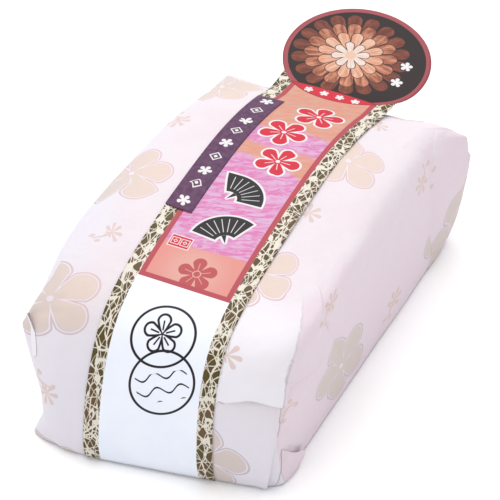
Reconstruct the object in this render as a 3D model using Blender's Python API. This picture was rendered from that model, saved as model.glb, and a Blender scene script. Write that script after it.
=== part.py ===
"""Paper-wrapped pack of monaka sweets with a card label band.

A soft block wrapped in printed paper lies on its flat underside. A thin card
label runs from beyond the back edge, where it ends in a round disc, along the
top and down over the rounded front. A narrow sticker lies on the label's left
edge. Metres, +Z up, +Y towards the disc, origin in the middle of the underside.
"""
import math

import bmesh
import bpy
from mathutils import Vector

# Driving dimensions of the wrapped block
PACK_HEIGHT = 0.0757
TOP_FRONT_Y = -0.0517
TOP_BACK_Y = 0.0972
FRONT_BULGE = 0.0400
BACK_BULGE = 0.0046
HALF_WIDTH_FRONT = 0.0614
HALF_WIDTH_BACK = 0.0510
FOOT_TUCK_LEFT = 0.0119
FOOT_FLARE_RIGHT = 0.0095
FOOT_FLARE_FRONT = -0.0075
PACK_CENTRE_X = -0.0015
FRONT_SKEW = 0.166
BACK_SKEW = 0.037
BACK_SKEW_POWER = 6

# Softness of the block
SHOULDER_POWER_LEFT = 1.94
SHOULDER_POWER_RIGHT = 2.70
PLAN_POWER = 6.9
PLAN_POWER_RIGHT_FOOT = 12.0
EDGE_POWER_TOP = 3.6
EDGE_POWER_FOOT = 16.0
FLAT_SHARE = 0.03
TOP_CROWN = 0.0020
SIDE_CROWN = 0.0004
FRONT_DROOP = 0.0056
BACK_DROOP = 0.0138

# Card label, its disc and the sticker
CARD_GAP = 0.0003
CARD_THICKNESS = 0.0005
LABEL_WIDTH = 0.0536
LABEL_FOOT_Z = 0.0012
DISC_RADIUS = 0.0334
DISC_CENTRE_Y = 0.1210
EDGE_SLOPE = -0.25
DISC_LIFT = 0.127
DISC_BEND = 0.030
DISC_TWIST = 0.081
STICKER_WIDTH = 0.0124
STICKER_THICKNESS = 0.0003
STICKER_FRONT_Y = -0.0192
STICKER_BACK_Y = 0.0735

# Grid of the block: columns on each side of the label, columns under it,
# rows along the length and rows up the height, with one row just off the ground,
# then the rows of the free card
SIDE_COLUMNS = 6
LABEL_COLUMNS = 8
LENGTH_ROWS = 20
HEIGHT_ROWS = 14
FOOT_ROW = -0.955
NECK_ROWS = 2
DISC_ROWS = 12
LABEL_SHARE = 0.45

# Folded corners: side in X, end in Y, height of the tip, half the height it
# spans, how far it reaches round the corner, and how far the tip stands out
FRONT_EAR = dict(side=-1, end=-1, tip_z=0.043, span=0.020, reach=0.016, out=(-0.0114, 0.0046, 0.0))
BACK_EAR = dict(side=1, end=1, tip_z=0.044, span=0.050, reach=0.024, out=(0.0111, 0.0115, 0.0))
BACK_EAR_LEFT = dict(side=-1, end=1, tip_z=0.038, span=0.046, reach=0.020, out=(-0.0101, 0.0137, 0.0))
FOOT_EAR_LEFT = dict(side=-1, end=-1, tip_z=0.0, span=0.012, reach=0.012, out=(-0.0075, -0.0034, 0.0))
FOOT_EAR_RIGHT = dict(side=1, end=-1, tip_z=0.0, span=0.022, reach=0.020, out=(0.0039, 0.0013, 0.0))
EARS = (FRONT_EAR, BACK_EAR, BACK_EAR_LEFT, FOOT_EAR_LEFT, FOOT_EAR_RIGHT)

PAPER_COLOUR = (0.90, 0.82, 0.88, 1.0)
CARD_COLOUR = (0.80, 0.86, 0.95, 1.0)
STICKER_COLOUR = (0.17, 0.05, 0.15, 1.0)


def clear_scene():
    """Remove whatever the file opened with."""
    for item in list(bpy.data.objects):
        bpy.data.objects.remove(item, do_unlink=True)


def blend(start, end, share):
    """Value a share of the way from start to end."""
    return start + (end - start) * share


def smooth_step(value):
    """Ease from 0 to 1 as the value goes from 0 to 1."""
    value = min(1.0, max(0.0, value))
    return value * value * (3.0 - 2.0 * value)


def ear_offset(across, along, height):
    """How far the folded corners push a surface point out."""
    offset = Vector((0.0, 0.0, 0.0))
    for ear in EARS:
        from_side = (1.0 - ear["side"] * across) * HALF_WIDTH_FRONT
        from_end = (1.0 - ear["end"] * along) * (TOP_BACK_Y - TOP_FRONT_Y) / 2
        near = max(0.0, 1.0 - (from_side + from_end) / ear["reach"])
        level = max(0.0, 1.0 - abs(height - ear["tip_z"]) / ear["span"])
        offset += Vector(ear["out"]) * near * level
    return offset


def rounded(first, second, power):
    """How far a square's outline is drawn in at a point when its corners are rounded."""
    size = max(abs(first), abs(second))
    if size == 0.0:
        return 1.0
    return (abs(first / size) ** power + abs(second / size) ** power) ** (-1.0 / power)


def pack_point(across, along, up):
    """Point of the soft block for a point of the unit cube's surface."""
    foot_share = max(0.0, -up)
    right_foot = foot_share * max(0.0, across)
    in_plan = rounded(across, along, blend(PLAN_POWER, PLAN_POWER_RIGHT_FOOT, right_foot))
    ring = max(abs(across), abs(along))
    in_height = rounded(ring, up, blend(EDGE_POWER_TOP, EDGE_POWER_FOOT, foot_share))
    x_share = across * in_plan * in_height
    y_share = along * in_plan * in_height
    raised = (up * in_height + 1.0) / 2 - FLAT_SHARE
    level = min(1.0, max(0.0, raised) / (1.0 - FLAT_SHARE))

    angle = level * math.pi / 2
    power = blend(SHOULDER_POWER_LEFT, SHOULDER_POWER_RIGHT, smooth_step((x_share + 1.0) / 2))
    droop = (BACK_DROOP if y_share > 0.0 else FRONT_DROOP) * y_share ** 2
    z = (PACK_HEIGHT - droop) * math.sin(angle) ** (2.0 / power)
    reach = max(0.0, math.cos(angle)) ** (2.0 / power)
    front_y = TOP_FRONT_Y - FRONT_BULGE * reach
    back_y = TOP_BACK_Y + BACK_BULGE * reach
    y = blend(front_y, back_y, (y_share + 1.0) / 2)

    half_width = blend(HALF_WIDTH_FRONT, HALF_WIDTH_BACK, (y_share + 1.0) / 2)
    half_width += SIDE_CROWN * (1.0 - y_share ** 2) * level
    if across < 0.0:
        half_width -= FOOT_TUCK_LEFT * (1.0 - level) ** 2
    else:
        flare = blend(FOOT_FLARE_FRONT, FOOT_FLARE_RIGHT, (y_share + 1.0) / 2)
        half_width += flare * (1.0 - level)
    half_label = LABEL_WIDTH / 2
    side = math.copysign(1.0, across)
    if abs(across) <= LABEL_SHARE:
        x = across / LABEL_SHARE * half_label
    else:
        spare = (abs(x_share) - LABEL_SHARE) / (1.0 - LABEL_SHARE)
        x = side * blend(half_label, half_width + side * PACK_CENTRE_X, spare)
    skew = BACK_SKEW * max(0.0, y_share) ** BACK_SKEW_POWER
    skew += FRONT_SKEW * (1.0 - level) * (1.0 - y_share) / 2
    y += skew * x

    z += TOP_CROWN * (1.0 - x_share ** 2) * (1.0 - y_share ** 2) * level
    return Vector((x, y, z)) + ear_offset(across, along, z)


def column_shares():
    """Shares of the half width at which the block's columns stand."""
    shares = [blend(-1.0, -LABEL_SHARE, i / SIDE_COLUMNS) for i in range(SIDE_COLUMNS)]
    shares += [blend(-LABEL_SHARE, LABEL_SHARE, i / LABEL_COLUMNS) for i in range(LABEL_COLUMNS)]
    shares += [blend(LABEL_SHARE, 1.0, i / SIDE_COLUMNS) for i in range(SIDE_COLUMNS + 1)]
    return shares


def row_shares(rows):
    """Evenly spaced shares from -1 to 1."""
    return [blend(-1.0, 1.0, i / rows) for i in range(rows + 1)]


def height_shares():
    """Shares of the half height at which the block's rows stand, one just off the ground."""
    shares = row_shares(HEIGHT_ROWS)
    return shares[:1] + [FOOT_ROW] + shares[1:]


def make_object(name, bm, colour, roughness):
    """Turn a bmesh into a named object with its own material."""
    bmesh.ops.recalc_face_normals(bm, faces=bm.faces)
    bmesh.ops.triangulate(bm, faces=bm.faces)
    mesh = bpy.data.meshes.new(name)
    bm.to_mesh(mesh)
    bm.free()
    item = bpy.data.objects.new(name, mesh)
    bpy.context.collection.objects.link(item)
    material = bpy.data.materials.new(name + "_material")
    material.use_nodes = True
    shader = material.node_tree.nodes["Principled BSDF"]
    shader.inputs["Base Color"].default_value = colour
    shader.inputs["Roughness"].default_value = roughness
    mesh.materials.append(material)
    mesh.shade_smooth()
    mesh.set_sharp_from_angle(angle=math.radians(35))
    return item


def make_block():
    """The wrapped block: a unit cube's grid of points, carried to the soft form."""
    columns = column_shares()
    lengths = row_shares(LENGTH_ROWS)
    heights = height_shares()
    bm = bmesh.new()
    corners = {}

    def corner(across, along, up):
        key = (round(across, 5), round(along, 5), round(up, 5))
        if key not in corners:
            corners[key] = bm.verts.new(pack_point(across, along, up))
        return corners[key]

    def patch(first, second, place):
        for a, a_next in zip(first, first[1:]):
            for b, b_next in zip(second, second[1:]):
                ring = (place(a, b), place(a_next, b), place(a_next, b_next), place(a, b_next))
                bm.faces.new([corner(*spot) for spot in ring])

    for end in (-1.0, 1.0):
        patch(columns, lengths, lambda a, b: (a, b, end))
        patch(columns, heights, lambda a, b: (a, end, b))
        patch(lengths, heights, lambda a, b: (end, a, b))
    return make_object("wrapped_block", bm, PAPER_COLOUR, 0.75)


def label_rows():
    """Rows of points on the block's skin under the label, from foot to back edge."""
    columns = [share for share in column_shares() if abs(share) <= LABEL_SHARE + 1e-6]
    rows = []
    for up in height_shares()[1:-1]:
        rows.append([pack_point(share, -1.0, up) for share in columns])
    for along in row_shares(LENGTH_ROWS)[:-1]:
        rows.append([pack_point(share, along, 1.0) for share in columns])
    return rows


def free_rise(past_edge):
    """Rise of the free card at a distance past the block's back edge, as it curls up."""
    bent = min(past_edge, DISC_BEND)
    rise = EDGE_SLOPE * bent + (DISC_LIFT - EDGE_SLOPE) * bent ** 2 / (2 * DISC_BEND)
    return rise + DISC_LIFT * (past_edge - bent)


def disc_rows(last_row):
    """Rows of the free card past the block's back edge, ending in the disc."""
    edge_y = sum(point.y for point in last_row) / len(last_row)
    edge_z = sum(point.z for point in last_row) / len(last_row)
    half_label = LABEL_WIDTH / 2
    start_angle = math.asin(half_label / DISC_RADIUS)
    neck_y = DISC_CENTRE_Y - DISC_RADIUS * math.cos(start_angle)
    spans = []
    for i in range(NECK_ROWS):
        spans.append((blend(edge_y, neck_y, (i + 1) / (NECK_ROWS + 1)), half_label))
    for i in range(DISC_ROWS):
        angle = blend(start_angle, math.pi, i / DISC_ROWS)
        spans.append((DISC_CENTRE_Y - DISC_RADIUS * math.cos(angle), DISC_RADIUS * math.sin(angle)))
    rows = []
    for y, half_width in spans:
        turn = DISC_TWIST * smooth_step((y - edge_y) / DISC_RADIUS)
        row = []
        for i in range(LABEL_COLUMNS + 1):
            x = half_width * (2.0 * i / LABEL_COLUMNS - 1.0)
            row.append(Vector((x, y, edge_z + free_rise(y - edge_y) - turn * x)))
        rows.append(row)
    tip_y = DISC_CENTRE_Y + DISC_RADIUS
    tip = Vector((0.0, tip_y, edge_z + free_rise(tip_y - edge_y)))
    return rows, tip


def row_normals(rows):
    """Outward directions at each point of a run of rows."""
    normals = []
    for j, row in enumerate(rows):
        before = rows[max(0, j - 1)]
        after = rows[min(len(rows) - 1, j + 1)]
        line = []
        for i in range(len(row)):
            run = after[i] - before[i]
            across = row[min(len(row) - 1, i + 1)] - row[max(0, i - 1)]
            line.append(across.cross(run).normalized())
        normals.append(line)
    return normals


def offset_rows(rows, normals, height):
    """The same rows, raised along their normals."""
    return [[p + n * height for p, n in zip(*pair)] for pair in zip(rows, normals)]


def skin_between(bm, lower, upper, tips=None):
    """Closed thin skin between two runs of rows, with an optional end point on each."""
    low = [[bm.verts.new(p) for p in row] for row in lower]
    high = [[bm.verts.new(p) for p in row] for row in upper]
    for j in range(len(low) - 1):
        for i in range(len(low[j]) - 1):
            for grid in (low, high):
                bm.faces.new((grid[j][i], grid[j][i + 1], grid[j + 1][i + 1], grid[j + 1][i]))
        for i in (0, len(low[j]) - 1):
            bm.faces.new((low[j][i], low[j + 1][i], high[j + 1][i], high[j][i]))
    for i in range(len(low[0]) - 1):
        bm.faces.new((low[0][i], low[0][i + 1], high[0][i + 1], high[0][i]))
    if tips is None:
        for i in range(len(low[-1]) - 1):
            bm.faces.new((low[-1][i], low[-1][i + 1], high[-1][i + 1], high[-1][i]))
        return
    low_tip, high_tip = (bm.verts.new(tip) for tip in tips)
    for grid, tip in ((low, low_tip), (high, high_tip)):
        for i in range(len(grid[-1]) - 1):
            bm.faces.new((grid[-1][i], grid[-1][i + 1], tip))
    for i in (0, len(low[-1]) - 1):
        bm.faces.new((low[-1][i], low_tip, high_tip, high[-1][i]))


def label_surface():
    """Rows under the whole card, with the disc's end point."""
    on_block = label_rows()
    free, tip = disc_rows(on_block[-1])
    for point in on_block[0]:
        point.z = max(point.z, LABEL_FOOT_Z)
    return on_block + free, tip


def make_label():
    """The card label: one bent strip that ends in the overhanging disc."""
    rows, tip = label_surface()
    normals = row_normals(rows)
    lower = offset_rows(rows, normals, CARD_GAP)
    upper = offset_rows(rows, normals, CARD_GAP + CARD_THICKNESS)
    rise = Vector((0.0, 0.0, 1.0))
    tips = (tip + rise * CARD_GAP, tip + rise * (CARD_GAP + CARD_THICKNESS))
    bm = bmesh.new()
    skin_between(bm, lower, upper, tips)
    return make_object("label_band", bm, CARD_COLOUR, 0.45)


def row_at(rows, y):
    """Row of points at a place along the pack, between the two rows beside it."""
    for before, after in zip(rows, rows[1:]):
        if before[0].y <= y <= after[0].y:
            share = (y - before[0].y) / (after[0].y - before[0].y)
            return [p.lerp(q, share) for p, q in zip(before, after)]
    raise ValueError("no row lies there")


def sticker_rows(rows):
    """The part of a run of rows that the sticker covers, cut off at its ends and right edge."""
    covered = [row_at(rows, STICKER_FRONT_Y)]
    covered += [row for row in rows if STICKER_FRONT_Y < row[0].y < STICKER_BACK_Y]
    covered += [row_at(rows, STICKER_BACK_Y)]
    columns = STICKER_WIDTH / LABEL_WIDTH * LABEL_COLUMNS
    whole = int(columns)
    return [row[:whole + 1] + [row[whole].lerp(row[whole + 1], columns - whole)] for row in covered]


def make_sticker():
    """The narrow sticker on the label's left edge."""
    rows, _ = label_surface()
    normals = row_normals(rows)
    height = 2 * CARD_GAP + CARD_THICKNESS
    lower = offset_rows(rows, normals, height)
    upper = offset_rows(rows, normals, height + STICKER_THICKNESS)
    bm = bmesh.new()
    skin_between(bm, sticker_rows(lower), sticker_rows(upper))
    return make_object("side_sticker", bm, STICKER_COLOUR, 0.5)


def main():
    """Model the whole pack."""
    clear_scene()
    make_block()
    make_label()
    make_sticker()


main()
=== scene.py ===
"""Looks of the paper-wrapped monaka pack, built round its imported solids.

A soft block in printed paper, its end flaps and folded corners, a card label
band that ends in a disc, and a narrow sticker. Metres, +Z up, +Y towards the
disc. Print is laid out in millimetres on unrolled paper.
"""

import math

import bpy
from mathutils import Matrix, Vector, noise
from mathutils.bvhtree import BVHTree
from mathutils.geometry import barycentric_transform


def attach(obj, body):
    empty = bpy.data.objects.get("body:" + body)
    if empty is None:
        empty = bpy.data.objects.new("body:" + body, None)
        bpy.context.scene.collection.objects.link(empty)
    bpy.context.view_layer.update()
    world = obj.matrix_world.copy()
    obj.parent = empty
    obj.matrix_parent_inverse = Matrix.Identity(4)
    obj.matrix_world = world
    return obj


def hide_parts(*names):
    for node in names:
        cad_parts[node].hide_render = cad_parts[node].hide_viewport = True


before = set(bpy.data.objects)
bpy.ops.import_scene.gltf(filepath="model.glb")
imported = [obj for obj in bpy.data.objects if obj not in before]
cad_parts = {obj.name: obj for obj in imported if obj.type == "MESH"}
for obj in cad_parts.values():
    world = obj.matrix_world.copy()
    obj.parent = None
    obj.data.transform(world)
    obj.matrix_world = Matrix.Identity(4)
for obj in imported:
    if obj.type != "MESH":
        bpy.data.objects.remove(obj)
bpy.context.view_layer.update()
BODY = "root"
MM = 0.001

# Driving dimensions of the block, as its solid has them
PACK_HEIGHT = 0.0757
TOP_FRONT_Y = -0.0517
TOP_BACK_Y = 0.0972
FRONT_BULGE = 0.0400
BACK_BULGE = 0.0046
HALF_WIDTH_FRONT = 0.0614
HALF_WIDTH_BACK = 0.0510
FOOT_TUCK_LEFT = 0.0119
FOOT_FLARE_RIGHT = 0.0095
FOOT_FLARE_FRONT = -0.0075
PACK_CENTRE_X = -0.0015
FRONT_SKEW = 0.166
BACK_SKEW = 0.037
BACK_SKEW_POWER = 6
SHOULDER_POWER_LEFT = 1.94
SHOULDER_POWER_RIGHT = 2.70
PLAN_POWER = 6.9
PLAN_POWER_RIGHT_FOOT = 12.0
EDGE_POWER_TOP = 3.6
EDGE_POWER_FOOT = 16.0
FLAT_SHARE = 0.03
TOP_CROWN = 0.0020
SIDE_CROWN = 0.0004
FRONT_DROOP = 0.0056
BACK_DROOP = 0.0138
FOOT_ROW = -0.955
LABEL_SHARE = 0.45

# Folded corners: side in X, end in Y, height of the tip, half the height it
# spans, how far it reaches round the corner, and how far the tip stands out
FRONT_EAR = dict(side=-1, end=-1, tip_z=0.043, span=0.020, reach=0.016, out=(-0.0114, 0.0046, 0.0))
BACK_EAR = dict(side=1, end=1, tip_z=0.044, span=0.050, reach=0.024, out=(0.0111, 0.0115, 0.0))
BACK_EAR_LEFT = dict(side=-1, end=1, tip_z=0.038, span=0.046, reach=0.020, out=(-0.0101, 0.0137, 0.0))
FOOT_EAR_LEFT = dict(side=-1, end=-1, tip_z=0.0, span=0.012, reach=0.012, out=(-0.0075, -0.0034, 0.0))
FOOT_EAR_RIGHT = dict(side=1, end=-1, tip_z=0.0, span=0.022, reach=0.020, out=(0.0039, 0.0013, 0.0))
EARS = (FRONT_EAR, BACK_EAR, BACK_EAR_LEFT, FOOT_EAR_LEFT, FOOT_EAR_RIGHT)

# Card label, disc and sticker
LABEL_WIDTH = 0.0536
LABEL_FOOT_Z = 0.0012
LABEL_LIFT = 0.00045
LABEL_THICKNESS = 0.00035
DISC_RADIUS = 0.0334
DISC_CENTRE_Y = 0.1210
EDGE_SLOPE = -0.25
DISC_LIFT = 0.127
DISC_BEND = 0.030
DISC_TWIST = 0.081
LAST_ROW_ON_BLOCK = 0.9
STICKER_WIDTH = 0.0124
STICKER_LENGTH = 0.0933
STICKER_FRONT_Y = -0.0192
STICKER_THICKNESS = 0.00020
STICKER_GAP = 0.00005
STICKER_CURL = 0.00025
PAPER_THICKNESS = 0.00012

# Fineness of the meshes: columns and rows of the block, the label, the sticker and the laid sheets
SIDE_COLUMNS = 34
LABEL_COLUMNS = 44
LENGTH_ROWS = 170
HEIGHT_ROWS = 72
LABEL_LENGTH_ROWS = 190
LABEL_HEIGHT_ROWS = 80
NECK_ROWS = 10
DISC_ROWS = 72
STICKER_COLUMNS = 16
STICKER_ROWS = 130
SHEET_COLUMNS = 64
SHEET_ROWS = 80

# Camera: direction from the pack, distance, and the point that it looks at
AZIMUTH = math.radians(24.75)
ELEVATION = math.radians(39.6)
AIM = Vector((0.01486, -0.02599, 0.07218))
VIEW_WIDTH = 0.200
CAMERA_DISTANCE = 0.900
SENSOR_WIDTH = 36.0

# Floor and light
FLOOR_REACH = 4.0
FLOOR_GREY = (0.97, 0.97, 0.97, 1.0)
FLOOR_WHITE = (1.0, 1.0, 1.0, 1.0)
SKY_COLOUR = (0.98, 0.985, 1.0, 1.0)
SKY_STRENGTH = 0.84
SUN_COLOUR = (1.0, 0.985, 0.97)
SUN_STRENGTH = 2.00
SUN_SPREAD = math.radians(70.0)
SUN_DIRECTION = Vector((-0.25, 0.30, 1.0))

# How bright a white sheet lying flat is; colours are given as seen in this light,
# over 255 where a steep surface would look duller than in the photograph
LIGHT_LEVEL = 1.42


def blend(start, end, share):
    """Value a share of the way from start to end."""
    return start + (end - start) * share


def smooth_step(value):
    """Ease from 0 to 1 as the value goes from 0 to 1."""
    value = min(1.0, max(0.0, value))
    return value * value * (3.0 - 2.0 * value)


def placed(name, data):
    """A new object of this mesh, light or camera in the scene."""
    item = bpy.data.objects.new(name, data)
    bpy.context.scene.collection.objects.link(item)
    return item


# Form of the block

def ear_offset(across, along, height):
    """How far the folded corners push a surface point out."""
    offset = Vector((0.0, 0.0, 0.0))
    for ear in EARS:
        from_side = (1.0 - ear["side"] * across) * HALF_WIDTH_FRONT
        from_end = (1.0 - ear["end"] * along) * (TOP_BACK_Y - TOP_FRONT_Y) / 2
        near = max(0.0, 1.0 - (from_side + from_end) / ear["reach"])
        level = max(0.0, 1.0 - abs(height - ear["tip_z"]) / ear["span"])
        offset += Vector(ear["out"]) * near * level
    return offset


def rounded(first, second, power):
    """How far a square's outline is drawn in at a point when its corners are rounded."""
    size = max(abs(first), abs(second))
    if size == 0.0:
        return 1.0
    return (abs(first / size) ** power + abs(second / size) ** power) ** (-1.0 / power)


def pack_point(across, along, up):
    """Point of the soft block for a point of the unit cube's surface."""
    foot_share = max(0.0, -up)
    right_foot = foot_share * max(0.0, across)
    in_plan = rounded(across, along, blend(PLAN_POWER, PLAN_POWER_RIGHT_FOOT, right_foot))
    ring = max(abs(across), abs(along))
    in_height = rounded(ring, up, blend(EDGE_POWER_TOP, EDGE_POWER_FOOT, foot_share))
    x_share = across * in_plan * in_height
    y_share = along * in_plan * in_height
    raised = (up * in_height + 1.0) / 2 - FLAT_SHARE
    level = min(1.0, max(0.0, raised) / (1.0 - FLAT_SHARE))

    angle = level * math.pi / 2
    power = blend(SHOULDER_POWER_LEFT, SHOULDER_POWER_RIGHT, smooth_step((x_share + 1.0) / 2))
    droop = (BACK_DROOP if y_share > 0.0 else FRONT_DROOP) * y_share ** 2
    z = (PACK_HEIGHT - droop) * math.sin(angle) ** (2.0 / power)
    reach = max(0.0, math.cos(angle)) ** (2.0 / power)
    front_y = TOP_FRONT_Y - FRONT_BULGE * reach
    back_y = TOP_BACK_Y + BACK_BULGE * reach
    y = blend(front_y, back_y, (y_share + 1.0) / 2)

    half_width = blend(HALF_WIDTH_FRONT, HALF_WIDTH_BACK, (y_share + 1.0) / 2)
    half_width += SIDE_CROWN * (1.0 - y_share ** 2) * level
    if across < 0.0:
        half_width -= FOOT_TUCK_LEFT * (1.0 - level) ** 2
    else:
        flare = blend(FOOT_FLARE_FRONT, FOOT_FLARE_RIGHT, (y_share + 1.0) / 2)
        half_width += flare * (1.0 - level)
    half_label = LABEL_WIDTH / 2
    side = math.copysign(1.0, across)
    if abs(across) <= LABEL_SHARE:
        x = across / LABEL_SHARE * half_label
    else:
        spare = (abs(x_share) - LABEL_SHARE) / (1.0 - LABEL_SHARE)
        x = side * blend(half_label, half_width + side * PACK_CENTRE_X, spare)
    skew = BACK_SKEW * max(0.0, y_share) ** BACK_SKEW_POWER
    skew += FRONT_SKEW * (1.0 - level) * (1.0 - y_share) / 2
    y += skew * x

    z += TOP_CROWN * (1.0 - x_share ** 2) * (1.0 - y_share ** 2) * level
    return Vector((x, y, z)) + ear_offset(across, along, z)


# Creases of the paper: two ends in millimetres, width and depth, where a
# depth below zero is a valley
CREASES = (
    ((54.3, -41.7, 69.8), (55.8, -41.7, 58.0), 3.0, -0.9),
    ((55.8, -43.0, 61.0), (55.0, -26.0, 33.5), 4.0, -0.5),
    ((53.6, 71.0, 63.0), (58.0, 98.0, 53.0), 3.0, 0.5),
    ((55.0, -20.0, 55.0), (55.0, 45.0, 62.0), 10.0, 0.5),
    ((52.6, -72.0, 19.0), (53.3, -60.0, 7.5), 2.2, -0.9),
    ((51.6, -75.0, 20.0), (50.6, -76.5, 5.0), 3.0, -1.2),
    ((-54.7, -52.2, 67.7), (-46.0, -72.0, 60.0), 5.0, 0.5),
    ((-46.0, -72.0, 60.0), (-40.0, -85.0, 45.0), 6.0, 0.4),
    ((-61.0, -75.0, 47.5), (-49.0, -83.0, 36.0), 2.2, -0.9),
    ((-60.0, -74.0, 49.5), (-44.0, -76.0, 57.0), 2.5, -0.7),
    ((-45.0, -93.0, 16.0), (-38.0, -94.5, 10.0), 2.5, -0.6),
    ((-50.0, 80.0, 62.0), (-54.0, 70.0, 12.0), 3.0, -1.0),
    ((-57.0, -50.0, 62.0), (-52.0, -70.0, 52.0), 4.0, -0.5),
    ((-56.0, -20.0, 60.0), (-53.0, 30.0, 30.0), 6.0, -0.4),
    ((-56.0, 10.0, 55.0), (-52.0, -30.0, 20.0), 6.0, 0.5),
)
UNDER_SEAM_X = 8.0
UNDER_SEAM_STEP = 0.30

# Soft relief in millimetres: height and spread of the buckles, the crumples and the fine dents
BUCKLES = (0.42, 30.0)
CRUMPLES = (0.30, 13.0)
FINE_DENTS = (0.06, 4.0)


def crease_depth(point):
    """Height in millimetres that the creases give a surface point, itself in millimetres."""
    height = 0.0
    for start, end, width, depth in CREASES:
        first = Vector(start)
        run = Vector(end) - first
        share = min(1.0, max(0.0, (point - first).dot(run) / run.length_squared))
        apart = (point - first - run * share).length
        if apart < width:
            height += depth * (1.0 - apart / width) ** 2 * smooth_step(6.0 * min(share, 1.0 - share) + 0.3)
    return height


def paper_relief(point, under_label):
    """Height in metres of the soft buckles and creases at a surface point."""
    spot = point / MM
    seed = Vector((31.0, 7.0, 11.0))
    buckle = BUCKLES[0] * noise.noise(spot / BUCKLES[1] + seed)
    crumple = CRUMPLES[0] * (0.35 - abs(noise.noise(spot / CRUMPLES[1] + seed * 2.0)))
    fine = FINE_DENTS[0] * noise.noise(spot / FINE_DENTS[1])
    height = buckle + crumple + fine + crease_depth(spot)
    if under_label:
        height = min(0.05, height * 0.15)
    height *= smooth_step(spot.z / 3.0)
    if spot.z < 0.01 and spot.x > UNDER_SEAM_X and abs(spot.y) < (TOP_BACK_Y / MM - 10.0):
        height -= UNDER_SEAM_STEP
    return height * MM


def column_shares():
    """Shares of the half width at which the block's columns stand."""
    shares = [blend(-1.0, -LABEL_SHARE, i / SIDE_COLUMNS) for i in range(SIDE_COLUMNS)]
    shares += [blend(-LABEL_SHARE, LABEL_SHARE, i / LABEL_COLUMNS) for i in range(LABEL_COLUMNS)]
    shares += [blend(LABEL_SHARE, 1.0, i / SIDE_COLUMNS) for i in range(SIDE_COLUMNS + 1)]
    return shares


def row_shares(rows):
    """Evenly spaced shares from -1 to 1."""
    return [blend(-1.0, 1.0, i / rows) for i in range(rows + 1)]


def running_lengths(line, middle):
    """Signed length along a line of points, counted from the one at index middle."""
    lengths = [0.0] * len(line)
    for i in range(middle + 1, len(line)):
        lengths[i] = lengths[i - 1] + (line[i] - line[i - 1]).length
    for i in range(middle - 1, -1, -1):
        lengths[i] = lengths[i + 1] - (line[i] - line[i + 1]).length
    return lengths


class PaperMesh:
    """Vertices, faces and unrolled paper coordinates of one mesh, gathered patch by patch."""

    def __init__(self):
        self.points = []
        self.faces = []
        self.coordinates = []
        self.known = {}

    def vertex(self, key, make):
        """Index of the vertex with this key, made when it is new."""
        if key not in self.known:
            self.known[key] = len(self.points)
            self.points.append(make())
        return self.known[key]

    def grid(self, indices, paper, flip=False):
        """Quads over a grid of vertex indices, with the paper coordinates of each corner."""
        for i in range(len(indices) - 1):
            for j in range(len(indices[i]) - 1):
                ring = [(i, j), (i + 1, j), (i + 1, j + 1), (i, j + 1)]
                if flip:
                    ring.reverse()
                self.faces.append([indices[a][b] for a, b in ring])
                self.coordinates.append([paper[a][b] for a, b in ring])

    def turn_over(self):
        """Turn every face to look the other way."""
        for ring in self.faces + self.coordinates:
            ring.reverse()

    def make(self, name, material, body_slot):
        """The finished object, riding on the pack."""
        mesh = bpy.data.meshes.new(name)
        mesh.from_pydata(self.points, [], self.faces)
        layer = mesh.uv_layers.new(name="paper")
        flat = [spot for ring in self.coordinates for spot in ring]
        for loop, spot in zip(layer.data, flat):
            loop.uv = spot
        mesh.update()
        mesh.shade_smooth()
        mesh.materials.append(material)
        item = placed(name, mesh)
        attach(item, BODY)
        return item


def patch_points(gathered, first, second, place):
    """Vertex indices of one face of the unit cube, carried to the block."""
    indices = []
    for a in first:
        line = []
        for b in second:
            across, along, up = place(a, b)
            key = (round(across, 5), round(along, 5), round(up, 5))
            line.append(gathered.vertex(key, lambda: pack_point(across, along, up)))
        indices.append(line)
    return indices


def hung_paper(gathered, patch, edge, step):
    """Paper coordinates of a patch that hangs from an edge of the top, unrolled along step."""
    rows = []
    for (u, v), line in zip(edge, patch):
        drops = running_lengths([gathered.points[i] for i in line], 0)
        rows.append([(u + step[0] * drop, v + step[1] * drop) for drop in drops])
    return rows


def block_mesh():
    """The block's skin: fine grid on the six faces, with paper coordinates that run over the edges."""
    gathered = PaperMesh()
    columns = column_shares()
    lengths = row_shares(LENGTH_ROWS)
    falling = row_shares(HEIGHT_ROWS)[::-1]
    middle_column = len(columns) // 2
    middle_row = len(lengths) // 2

    top = patch_points(gathered, columns, lengths, lambda a, b: (a, b, 1.0))
    lines = [[gathered.points[i] for i in line] for line in top]
    along = [running_lengths(line, middle_row) for line in lines]
    across = list(zip(*[running_lengths(line, middle_column) for line in zip(*lines)]))
    paper = [[(across[i][j], along[i][j]) for j in range(len(lengths))] for i in range(len(columns))]
    gathered.grid(top, paper)

    for side, column in ((-1.0, 0), (1.0, len(columns) - 1)):
        patch = patch_points(gathered, lengths, falling, lambda a, b: (side, a, b))
        gathered.grid(patch, hung_paper(gathered, patch, paper[column], (side, 0.0)), flip=side > 0.0)

    for end, row in ((-1.0, 0), (1.0, len(lengths) - 1)):
        patch = patch_points(gathered, columns, falling, lambda a, b: (a, end, b))
        edge = [line[row] for line in paper]
        gathered.grid(patch, hung_paper(gathered, patch, edge, (0.0, end)), flip=end < 0.0)

    foot = patch_points(gathered, columns, lengths, lambda a, b: (a, b, -1.0))
    paper_foot = [[(gathered.points[i].x, gathered.points[i].y) for i in line] for line in foot]
    gathered.grid(foot, paper_foot, flip=True)
    return gathered


def add_relief(gathered):
    """Push every vertex of the block along its normal by the paper's relief."""
    normals = [Vector((0.0, 0.0, 0.0)) for _ in gathered.points]
    for face in gathered.faces:
        a, b, c, d = (gathered.points[i] for i in face)
        lean = (c - a).cross(d - b)
        for i in face:
            normals[i] += lean
    keys = {index: key for key, index in gathered.known.items()}
    for index, point in enumerate(gathered.points):
        across, _, up = keys[index]
        under_label = abs(across) < LABEL_SHARE * 0.97 and up > -1.0
        gathered.points[index] = point + normals[index].normalized() * paper_relief(point, under_label)


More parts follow.
